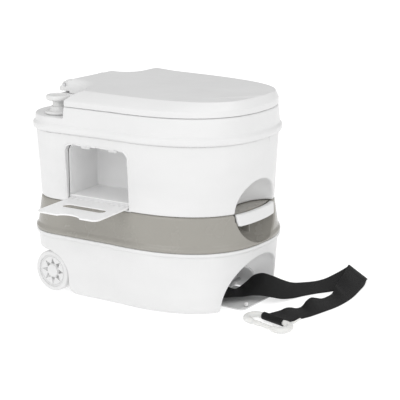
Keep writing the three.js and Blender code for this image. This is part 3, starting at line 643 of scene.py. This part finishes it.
def loop_field(x, y, z):
    """The strap's end, wrapped round the hook's straight bar."""
    u, v, w = on_hook(x, y, z)
    ring = np.abs(length(u - HOOK_HALF, w - HOOK_BAR_Z) - HOOK_TUBE - 1.25) - 0.95
    return both(ring, span(v, -25, 25), 0.7)


loop = solid("strap_loop", loop_field, (-87, -315, 1), (-61, -262, 17), 0.75, 6000)
at = np.zeros(len(loop.data.vertices) * 3, np.float32)
loop.data.vertices.foreach_get("co", at)
u, v, w = on_hook(*(at.reshape(-1, 3) / MM).T)
around = np.arctan2(w - HOOK_BAR_Z, u - HOOK_HALF) * (HOOK_TUBE + 2)
wraps = loop.data.attributes.new("webbing", "FLOAT_VECTOR", "POINT")
wraps.data.foreach_set("vector", np.stack([around, v, 0 * v], 1).astype(np.float32).ravel())

# ---------------------------------------------------------------- stage
FLOOR_HALF = 40
corners = [(a * FLOOR_HALF, b * FLOOR_HALF, 0) for a, b in ((-1, -1), (1, -1), (1, 1), (-1, 1))]
floor_mesh = new_mesh("floor", corners, [(0, 1, 2, 3)])
floor = bpy.data.objects.new("floor", floor_mesh)
bpy.context.scene.collection.objects.link(floor)
paper, _, paper_shader = node_material("pale_floor", 0.9)
paper_shader.inputs["Base Color"].default_value = (0.5, 0.5, 0.5, 1)
paper_shader.inputs["Emission Color"].default_value = (1, 1, 1, 1)
paper_shader.inputs["Emission Strength"].default_value = 0.66
floor_mesh.materials.append(paper)

# The studio is brightest towards this side.
SOFTBOX = Vector((-0.75, -0.5, 0.9))
world = bpy.data.worlds.new("studio")
bpy.context.scene.world = world
world.use_nodes = True
sky = world.node_tree.nodes["Background"]
sky.inputs["Color"].default_value = (1, 1, 1, 1)
heading = add_node(world.node_tree, "ShaderNodeTexCoord")
facing = add_node(world.node_tree, "ShaderNodeVectorMath", {"operation": "DOT_PRODUCT"})
facing.inputs[1].default_value = SOFTBOX.normalized()
fade = add_node(world.node_tree, "ShaderNodeMapRange")
fade.inputs["From Min"].default_value = -0.7
fade.inputs["To Min"].default_value = 0.4
fade.inputs["To Max"].default_value = 1.2
world.node_tree.links.new(heading.outputs["Generated"], facing.inputs[0])
world.node_tree.links.new(facing.outputs["Value"], fade.inputs["Value"])
world.node_tree.links.new(fade.outputs["Result"], sky.inputs["Strength"])


def lamp(name, place_at, look_at, size, power):
    data = bpy.data.lights.new(name, "AREA")
    data.shape = "RECTANGLE"
    data.size, data.size_y = size
    data.energy = power
    obj = bpy.data.objects.new(name, data)
    bpy.context.scene.collection.objects.link(obj)
    obj.location = place_at
    obj.rotation_euler = (Vector(look_at) - Vector(place_at)).to_track_quat("-Z", "Y").to_euler()


lamp("left", (-2.5, 0.0, 1.9), (0, 0, 0.2), (1.6, 1.2), 11)
lamp("front", (-0.6, -2.6, 1.7), (0, 0, 0.2), (1.6, 1.2), 7)
bpy.context.scene.view_settings.view_transform = "Standard"


# ---------------------------------------------------------------- shared hollows
def pump_well(x, y):
    return length(x + 150, y - 190) - 84


def filler_well(x, y):
    return rectangle(x, y, (86, 160), (230, 260), 20)


def wells(x, y):
    return np.minimum(pump_well(x, y), filler_well(x, y))


def scoop(x, y, z, up, grow=0.0):
    return ellipsoid(x, y, z, (0, -214, WASTE_TOP), (68 + grow, 49 + grow, up + grow))


def latch_pocket(x, y, z, high):
    return block(x, y, z, (LATCH_LOW, 200, 142), (LATCH_HIGH, 240, high), 3)


def hollowed(outer):
    return np.maximum(outer, -(outer + TANK_WALL))


WALL_TURN = math.atan2(10.7, 138)
WALL_X = -(170 + (PAPER_Y - 4) * math.tan(WALL_TURN) - 8.7)


def against_wall(x, y):
    """Part coordinates to the side wall's own: inwards, and along it to the rear."""
    c, s = math.cos(WALL_TURN), math.sin(WALL_TURN)
    dx, dy = x - WALL_X, y - PAPER_Y
    return c * dx + s * dy, -s * dx + c * dy


def hatch(v, z, half, bottom, top, radius):
    return np.maximum(rectangle(v, z, (-half, bottom - 60), (half, top), radius), bottom - z)


# ---------------------------------------------------------------- waste tank
base_profile = profile(
    [
        (0, 8.9),
        (16, 7.6),
        (60, 4.5),
        (112.6, 1),
        (114.4, -1.6),
        (115.6, -3.2),
        (119.6, -3.2),
        (121.3, -2.2),
    ],
    0.45,
)


def waste_base_field(x, y, z):
    outer = both(rim(x, y) + base_profile(z), -z, 13)
    dome = ellipsoid(x, y, z, (0, -209, 0), (98, 62, 97))
    tunnel = both(ellipse(x, z, (0, 0), 62, 60), y + 118, 5)
    hollow = either(dome, tunnel, 2)
    room = WHEEL_R + WHEEL_ROOM
    arch = np.minimum(length(y - AXLE_Y, z - WHEEL_R) - room, np.maximum(AXLE_Y - y, z - WHEEL_R - room))
    foot = both(y - AXLE_Y + room, -z, 20)
    wheel_room = np.minimum(arch, np.maximum(-foot, z - WHEEL_R))
    whole = outer
    outer = cut(outer, hollow, 3)
    outer = cut(outer, wheel_room, 2.5)
    f = np.maximum(hollowed(outer), z - 121.3)
    lip = both(np.abs(tunnel - 1.7) - 1.7, np.abs(dome) - 3, 1.0)
    lip = np.maximum(np.maximum(lip, whole + 2), 0.5 - z)
    return either(f, lip, 0.8)


solid("waste_tank_base", waste_base_field, (-185, -220, 0), (185, 220, 122), 1.8, 36000, WHITE)

top_profile = profile(
    [
        (121.6, -1),
        (122.4, -2.9),
        (125, -3.8),
        (128.5, -3.4),
        (131.2, -1.2),
        (134, 0.8),
        (178, 7.2),
        (186, 8.6),
    ],
    0.6,
)


def waste_top_field(x, y, z):
    outer = both(rim(x, y) + top_profile(z), z - WASTE_TOP, 4.5)
    channel = np.maximum(np.maximum(np.abs(x) - SLIDE_HALF - 1.2, y - 46), 172 - z)
    outer = cut(outer, either(channel, scoop(x, y, z, 62), 2), 3)
    outer = cut(outer, block(x, y, z, (6, 163, 134), (128, 240, 181.5), 3), 2)
    outer = cut(outer, latch_pocket(x, y, z, 260), 2)
    f = np.maximum(hollowed(outer), 121.6 - z)
    rib = block(x, y, z, (-18.3, -198, 143), (-15.7, -172, 161), 0.6)
    f = either(f, rib, 1)
    f = cut(f, both(length(x, y - BOWL_Y) - 48, span(z, 160, 176)), 0.8)
    f = cut(f, both(length(x - SPOUT_X, y - SPOUT_Y) - 13, span(z, 120, 140)))
    return cut(f, both(length(x - VENT_X, z - VENT_Z) - 9, span(y, 195, 222)), 0.8)


solid("waste_tank_top", waste_top_field, (-185, -220, 121), (185, 220, 187), 1.7, 34000)


def tray_field(x, y, z):
    plate = both(rectangle(x, y, (-54, -209), (54, -90), 12), span(z, 0.2, 3.0), 0.9)
    plate = np.maximum(plate, y + 118.6)
    step = np.maximum(rectangle(x, y, (-51, -206), (51, -90), 10), 2.4 - z)
    plate = cut(plate, step, 0.3)
    return cut(plate, np.maximum(rectangle(x, y, (-48, -203.4), (-38, -200.8), 1.2), 1.2 - z), 0.3)


solid("strap_tray", tray_field, (-55, -210, 0), (55, -118, 4), 1.0, 6000, WHITE)


def peg_field(x, y, z):
    return rod(x + 31, y + 202, z, 3.6, 3.3, 10.4, 1.2)


solid("strap_peg", peg_field, (-35, -206, 3), (-27, -198, 11), 0.5, 1500)


def wheel_field(side):
    def field(x, y, z):
        w = side * x
        dy, dz = y - AXLE_Y, z - WHEEL_R
        r = length(dy, dz)
        face = WHEEL_FACE
        body = both(r - WHEEL_R, span(w, WHEEL_INNER, face), 3.5)
        f = cut(body, np.maximum(r - 31.5, face - 3.2 - w), 1.0)
        f = either(f, both(r - 27.5, np.maximum(w - face + 1.9 + 0.11 * (27.5 - r), 150 - w), 0.8), 0.6)
        f = either(f, rod(dy, dz, w, 12.4, 150, face - 0.8, 1.0), 0.4)
        turn = (np.arctan2(dz, dy) + math.pi / 8) % (math.pi / 4) - math.pi / 8
        out, aside = r * np.cos(turn), r * np.sin(turn)
        share = np.clip((out - 13.6) / 13, 0, 1)
        notch = np.maximum(np.abs(aside) - 4.4 * (1 - share), 13.6 - out) * 0.9
        notch = np.maximum(notch, face - 11 + 8.6 * share + 0.3 * np.abs(aside) - w)
        f = cut(f, np.maximum(notch, out - 27), 0.3)
        tread = length(r - WHEEL_R - 0.3, w - 155) - 1.0
        f = cut(f, tread, 0.3)
        return cut(f, np.maximum(r - 5.35, w - face + 4), 0.3)

    return field


for side, word in ((-1, "left"), (1, "right")):
    edges = sorted((side * (WHEEL_INNER - 0.5), side * (WHEEL_FACE + 0.5)))
    solid(f"wheel_{word}", wheel_field(side), (edges[0], 115, 0), (edges[1], 197, 81), 1.0, 20000, WHITE)


def axle_field(x, y, z):
    """The axle ends inside the closed hubs."""
    end = WHEEL_FACE - 4.5
    return rod(y - AXLE_Y, z - WHEEL_R, x, 5, -end, end, 0.8)


solid("axle", axle_field, (-164, 150, 34), (164, 162, 46), 1.0, 3000)


# ---------------------------------------------------------------- slide valve
def handle_field(x, y, z):
    lean = 4 + (z - 163) * 0.12
    plan = rim(x, y)
    front = both(plan + lean, scoop(x, y, z, 62, -1.4), 6)
    band = both(front, -(plan + lean + 9), 2.0)
    band = both(band, span(z, 163, 185), 2.2)
    neck = block(x, y, z, (-16, -203, 172), (16, -193.8, 182), 1)
    return either(band, neck, 1)


solid("valve_handle", handle_field, (-66, -214, 162), (66, -165, 186), 1.0, 9000)


def guide_field(x, y, z):
    plan = np.maximum(np.maximum(rim(x, y) + 18.5, np.abs(x) - SLIDE_HALF), y + 79)
    f = both(plan, span(z, 182.2, 185.6), 1.0)
    for side in (-1, 1):
        f = np.minimum(f, block(x, y, z, (side * 60 - 3, -150, 172.3), (side * 60 + 3, -79, 183), 0.5))
    for at_x in (-36, -11, 18):
        f = either(f, ellipsoid(x, y, z, (at_x, -191 + abs(at_x) / 16, 185.3), (4.2, 3.2, 2.0)), 0.5)
    return f


solid("valve_guide_cover", guide_field, (-64, -199, 172), (64, -79, 188), 1.2, 10000)


# ---------------------------------------------------------------- rear of the waste tank
def spout_field(x, y, z):
    post = rod(x - SPOUT_X, y - SPOUT_Y, z, 21, 135, 180.5, 4)
    arm = rod(y - SPOUT_Y, z - SPOUT_Z, x, 18, 24, SPOUT_X, 1)
    f = either(post, arm, 4)
    for at_x in (44, 50, 56):
        f = either(f, length(length(y - SPOUT_Y, z - SPOUT_Z) - 18, x - at_x) - 1.1, 0.8)
    f = cut(f, both(length(x - SPOUT_X, y - SPOUT_Y) - 15, z - 174), 1)
    return cut(f, both(length(y - SPOUT_Y, z - SPOUT_Z) - 14.5, x - SPOUT_X), 1)


solid("pour_spout", spout_field, (23, 164, 134), (126, 208, 181), 1.3, 10000)


def knurl(a, b, count, depth):
    """A shallow wave round an axis."""
    return depth * np.cos(np.arctan2(b, a) * count)


def spout_cap_field(x, y, z):
    dy, dz = y - SPOUT_Y, z - SPOUT_Z
    outer = both(length(dy, dz) - 20.3 + knurl(dy, dz, 16, 0.5), span(x, 13, 40), 1.5)
    return cut(outer, np.maximum(length(dy, dz) - 18.6, 19 - x), 0.5)


solid("spout_cap", spout_cap_field, (12, 164, 136), (41, 208, 179), 1.1, 9000)


def vent_field(x, y, z):
    return cut(
        rod(x - VENT_X, z - VENT_Z, y, 8.4, 203, 214, 1.5),
        ellipsoid(x, y, z, (VENT_X, 217, VENT_Z), (7, 5, 7)),
        0.8,
    )


solid("vent_button", vent_field, (-105, 202, 151), (-87, 215, 169), 0.7, 3000)


def latch_field(x, y, z):
    low, high = LATCH_LOW + 3, LATCH_HIGH - 3
    f = block(x, y, z, (low, 204.6, 149), (high, 208.2, 204), 1)
    f = either(f, block(x, y, z, (low, 206, 199), (high, 211.5, 204), 1.5), 2)
    f = either(f, rod(y - 206.6, z - 149, x, 4, low, high, 0.8), 1)
    for at_z in (172, 179, 186, 193):
        f = either(f, rod(y - 208.2, z - at_z, x, 0.9, low + 9, high - 9, 0.4), 0.8)
    return cut(f, length(y - 206.6, z - 149) - 2.1)


solid("latch_lever", latch_field, (-70, 202, 144), (-16, 212, 205), 0.9, 8000)


# ---------------------------------------------------------------- flush tank
def flush_shell_field(x, y, z):
    outer = both(rim(x, y) + 8.9 - (z - 187) * 0.053, 186.4 - z, 2.6)
    u, v = against_wall(x, y)
    mouth = hatch(v, z, PAPER_HALF, PAPER_BOTTOM, PAPER_TOP, 14)
    near_wall = span(u, -20, 12)
    raised = both(outer - 1.1, np.abs(mouth - 1.9) - 1.9, 0.5)
    jamb = both(np.maximum(outer, np.abs(mouth - 1.4) - 1.4), u - 6.3, 0.4)
    outer = cut(outer, scoop(x, y, z, 55), 3.2)
    outer = cut(outer, latch_pocket(x, y, z, 206), 2)
    f = np.maximum(hollowed(outer), z - 317.2)
    f = either(f, np.maximum(np.maximum(raised, -(outer + 2)), near_wall), 0.5)
    f = either(f, np.maximum(jamb, near_wall), 0.4)
    f = cut(f, np.maximum(mouth, near_wall), 0.8)
    for at_v in (47, 15, -5, -46):
        f = cut(f, np.maximum(rectangle(v, z, (at_v - 5, 292), (at_v + 5, 298.4), 0.6), near_wall))
    f = np.minimum(f, block(x, y, z, (-60, 196, 196), (-26, 203.6, 200), 0.8))
    return cut(f, both(length(x, y - BOWL_Y) - 51.5, z - 195), 0.8)


solid("flush_tank_shell", flush_shell_field, (-181, -216, 186), (181, 216, 318), 1.7, 40000, WHITE)


def paper_box_field(x, y, z):
    u, v = against_wall(x, y)
    half = PAPER_HALF - 0.5
    outer = both(hatch(v, z, half, 197, PAPER_TOP - 0.5, 13.5), span(u, 5, 96), 1.0)
    inner = both(hatch(v, z, half - 2, 199, PAPER_TOP - 2.5, 12), u - 94, 3.5)
    f = cut(outer, inner, 0.5)
    sill = np.maximum(np.maximum(span(u, 5, 7), span(v, -half, half)), span(z, 190, 199.6))
    f = either(f, sill, 0.6)
    f = either(f, rod(u - 5.4, z - 199.2, v, 1.5, -half + 1, half - 1, 0.6), 0.5)
    for middle in (-29.5, 30.5):
        f = either(f, block(u, v, z, (5, middle - 9.5, 290.6), (7.4, middle + 9.5, 296), 0.5), 0.6)
    for at_v in (56, 60, 64, -64.5):
        f = np.minimum(f, block(u, v, z, (3.6, at_v - 0.8, 194.6), (6, at_v + 0.8, 201.5), 0.3))
    return f


# The compartment is drawn in the lighter copy of the white plastic, which is painted light
solid("paper_compartment", paper_box_field, (-166, -31, 189), (-61, 117, 298), 1.3, 22000, LIT_WHITE)


def door_field(x, y, z):
    u, v = against_wall(x, y)
    half = PAPER_HALF - 1.6
    plan = np.maximum(rectangle(u, v, (-DOOR_REACH, -half), (30, half), 13), u - DOOR_AXIS_U)
    notch = ellipse(u, v, (-DOOR_REACH - 1.8, -6), 13, 24)
    plan = cut(plan, notch, 2)
    f = both(plan, span(z, 191.9, 193.5), 0.6)
    f = either(f, both(np.abs(plan + 1.2) - 1.2, span(z, 190.9, 193.5), 0.5), 0.5)
    f = cut(f, rectangle(u, v, (-54, -46), (-34, 46), 9.8), 0.5)
    f = either(f, rod(u - DOOR_AXIS_U, z - DOOR_AXIS_Z, v, 2.4, -half, half, 0.5), 0.6)
    for at_v in (-46, 46):
        f = either(f, ellipsoid(u, v, z, (3.2 - DOOR_REACH, at_v, 193.3), (2.2, 5, 1.4)), 0.4)
    return cut(f, length(u - DOOR_AXIS_U, z - DOOR_AXIS_Z) - 1.5)


# The door is drawn in the lighter copy of the white plastic, which is painted light
solid("paper_door", door_field, (-274, -38, 189), (-153, 109, 196), 0.9, 16000, LIT_WHITE)

deck_profile = profile(
    [
        (317.5, 0.4),
        (318.3, -2.4),
        (321, -3.7),
        (325, -4.0),
        (329, -3.4),
        (331.6, -1.3),
        (333.6, 0.4),
        (362, 3.2),
        (367, 3.9),
    ],
    0.6,
)


def deck_field(x, y, z):
    outer = both(rim(x, y) + deck_profile(z), z - DECK_TOP, 3.2)
    outer = cut(outer, both(wells(x, y), SHELF_Z - z, 2.5), 1.8)
    f = np.maximum(hollowed(outer), 317.5 - z)
    f = cut(f, ellipse(x, y, (0, BOWL_Y), 104, 134), 1.2)
    f = cut(f, np.maximum(ellipse(x, y, (0, BOWL_Y), 114, 144), z - 364))
    for side in (-1, 1):
        at_x, half = side * HINGE_FOOT_X, HINGE_FOOT_HALF
        foot = block(x, y, z, (at_x - half, HINGE_Y - 7, 364.5), (at_x + half, HINGE_Y + 6, HINGE_Z), 0.5)
        barrel = rod(y - HINGE_Y, z - HINGE_Z, x - at_x, 8.5, -half, half, 0.8)
        f = either(f, np.minimum(foot, barrel), 2)
        f = cut(f, rod(y - HINGE_Y, z - HINGE_Z, x - at_x, PIN_CLEAR, -8, 8))
    f = cut(f, both(length(x - PUMP[0], y - PUMP[1]) - 13.2, span(z, 335, 350)), 0.5)
    return cut(f, both(length(x - FILLER[0], y - FILLER[1]) - 15.2, span(z, 335, 350)), 0.5)


solid("flush_tank_deck", deck_field, (-186, -221, 317), (186, 221, 392), 1.6, 40000, WHITE)


def bowl_field(x, y, z):
    a = np.interp(z, (186, 285, 305, 335, 364.5), (48, 51, 62, 91, 101))
    b = np.interp(z, (186, 285, 305, 335, 364.5), (48, 54, 78, 113, 131))
    funnel = ellipse(x, y, (0, BOWL_Y), a, b)
    f = both(funnel - 2.5, span(z, 186.7, 363.7), 0.5)
    flange = both(ellipse(x, y, (0, BOWL_Y), 112, 142), span(z, 361, 363.7), 0.8)
    return cut(either(f, flange, 3), funnel + 1.5, 0.8)


solid("bowl", bowl_field, (-113, -163, 186), (113, 123, 365), 1.7, 16000, WHITE)


# ---------------------------------------------------------------- pump and filler
def collar_field(x, y, z):
    r = length(x - PUMP[0], y - PUMP[1])
    foot = both(r - 25, span(z, 345.3, 350.6), 2)
    neck = both(r - 12.9, span(z, 345.3, 359.3), 1)
    return cut(either(foot, neck, 6.5), r - 10.8, 0.3)


solid("pump_collar", collar_field, (-166, 126, 345), (-114, 178, 360), 0.9, 6000)


def plunger_field(x, y, z):
    r = length(x - PUMP[0], y - PUMP[1])
    stem = both(r - 10.3, span(z, 342, 374))
    knob = both(r - 22.6, span(z, 371, 380.4), 4.2)
    knob = cut(knob, both(r - 16, 379.4 - z, 0.8), 0.6)
    f = either(stem, knob, 3.4)
    shaft = both(r - 4, span(z, 212, 345))
    piston = both(r - 10.4, span(z, 210, 218), 1)
    return np.minimum(f, np.minimum(shaft, piston))


solid("pump_plunger", plunger_field, (-164, 128, 209), (-116, 176, 382), 1.0, 10000)


def cap_field(x, y, z):
    dx, dy = x - FILLER[0], y - FILLER[1]
    outer = both(length(dx, dy) - 20.4 + knurl(dx, dy, 18, 0.5), span(z, 346, 358), 2)
    f = cut(outer, both(length(dx, dy) - 15.8, z - 355))
    return either(f, block(dx, dy, z, (-15, -2.5, 356), (15, 2.5, 361), 1.2), 1.5)


solid("filler_cap", cap_field, (102, 162, 345), (146, 206, 362), 0.9, 8000)


# ---------------------------------------------------------------- seat and lid
def seat_field(x, y, z):
    outer = both(rim(x, y) + 11.2, z - 385.6, 10)
    spread = np.interp(z, (368, 380, 388), (0, 3, 14))
    opening = ellipse(x, y, (0, BOWL_Y), 98 + spread, 128 + spread)
    outer = cut(outer, opening, 3)
    outer = cut(outer, wells(x, y) - 12, 2)
    outer = cut(outer, HINGE_Y - 18 - y, 2)
    f = np.maximum(hollowed(outer), 370 - z)
    for side in (-1, 1):
        at_x, half = side * SEAT_ARM_X, SEAT_ARM_HALF
        arm = block(x, y, z, (at_x - half, 178, 378.6), (at_x + half, HINGE_Y, 385), 1)
        f = either(f, arm, 1.5)
        f = np.minimum(f, rod(y - HINGE_Y, z - HINGE_Z, x - at_x, 6, -half, half, 0.6))
        f = cut(f, rod(y - HINGE_Y, z - HINGE_Z, x - at_x, PIN_CLEAR, -7, 7))
    return f


solid("seat", seat_field, (-172, -206, 369), (172, 209, 390), 1.8, 20000)

lid_flare = profile([(360, 0), (379, 0), (385, 2.2), (389.4, 6), (392.4, 11.5), (394.2, 19)], 0.6)
LID_SHOULDER = 378
ROUNDING = 1.2
CREASE_RISE = (1 - 0.5**ROUNDING) ** (1 / ROUNDING)


def lid_wells(x, y, z, by=0.0):
    """The corner hollows, opening out towards the lid's top."""
    flare = lid_flare(z + by)
    slope = lid_flare(z + by + 0.5) - lid_flare(z + by - 0.5)
    return (wells(x, y) - 1.5 - flare - by) / np.sqrt(1 + slope**2)


def lid_form(x, y, z, by=0.0):
    """Upright skirt that rounds over to a flat middle of another outline."""
    skirt = rim(x, y) + 3.4 + by
    middle = lid_flat(x, y) + by
    shoulder, rise = LID_SHOULDER - by / 2, LID_TOP - LID_SHOULDER - by / 2
    width = np.maximum(middle - skirt, 1)
    across = np.maximum((middle / width + 1) / 2, 0)
    upward = np.maximum(z - shoulder, 0) / rise * CREASE_RISE
    value = across**ROUNDING + upward**ROUNDING - 1
    sideways = across ** (ROUNDING - 1) / (2 * width)
    steep = ROUNDING * length(sideways, upward ** (ROUNDING - 1) * CREASE_RISE / rise)
    return both(value / np.maximum(steep, 0.01), z - LID_TOP + by, 0.4)


def lid_field(x, y, z):
    outer = cut(lid_form(x, y, z), lid_wells(x, y, z), 0.5)
    inner = cut(lid_form(x, y, z, LID_WALL), lid_wells(x, y, z, LID_WALL))
    f = cut(np.maximum(outer, 367.6 - z), inner)
    f = np.maximum(f, -block(x, y, z, (-100, HINGE_Y - 12, 350), (100, 240, 371.2)))
    for side in (-1, 1):
        low, high = sorted((side * 29.4, side * 54.6))
        f = cut(f, block(x, y, z, (low, HINGE_Y - 9.2, 350), (high, 240, 410), 1), 0.8)
        at_x, half = side * LID_EAR_X, LID_EAR_HALF
        ear = rod(y - HINGE_Y, z - HINGE_Z, x - at_x, 6.6, -half, half, 0.5)
        root = block(x, y, z, (at_x - half, HINGE_Y - 5, HINGE_Z), (at_x + half, HINGE_Y + 5, 390))
        f = np.minimum(f, np.minimum(ear, both(root, outer)))
        f = cut(f, rod(y - HINGE_Y, z - HINGE_Z, x - at_x, PIN_CLEAR, -5.5, 5.5))
    return f


solid("lid", lid_field, (-179, -214, 367), (179, 214, 395), 1.6, 38000, WHITE)
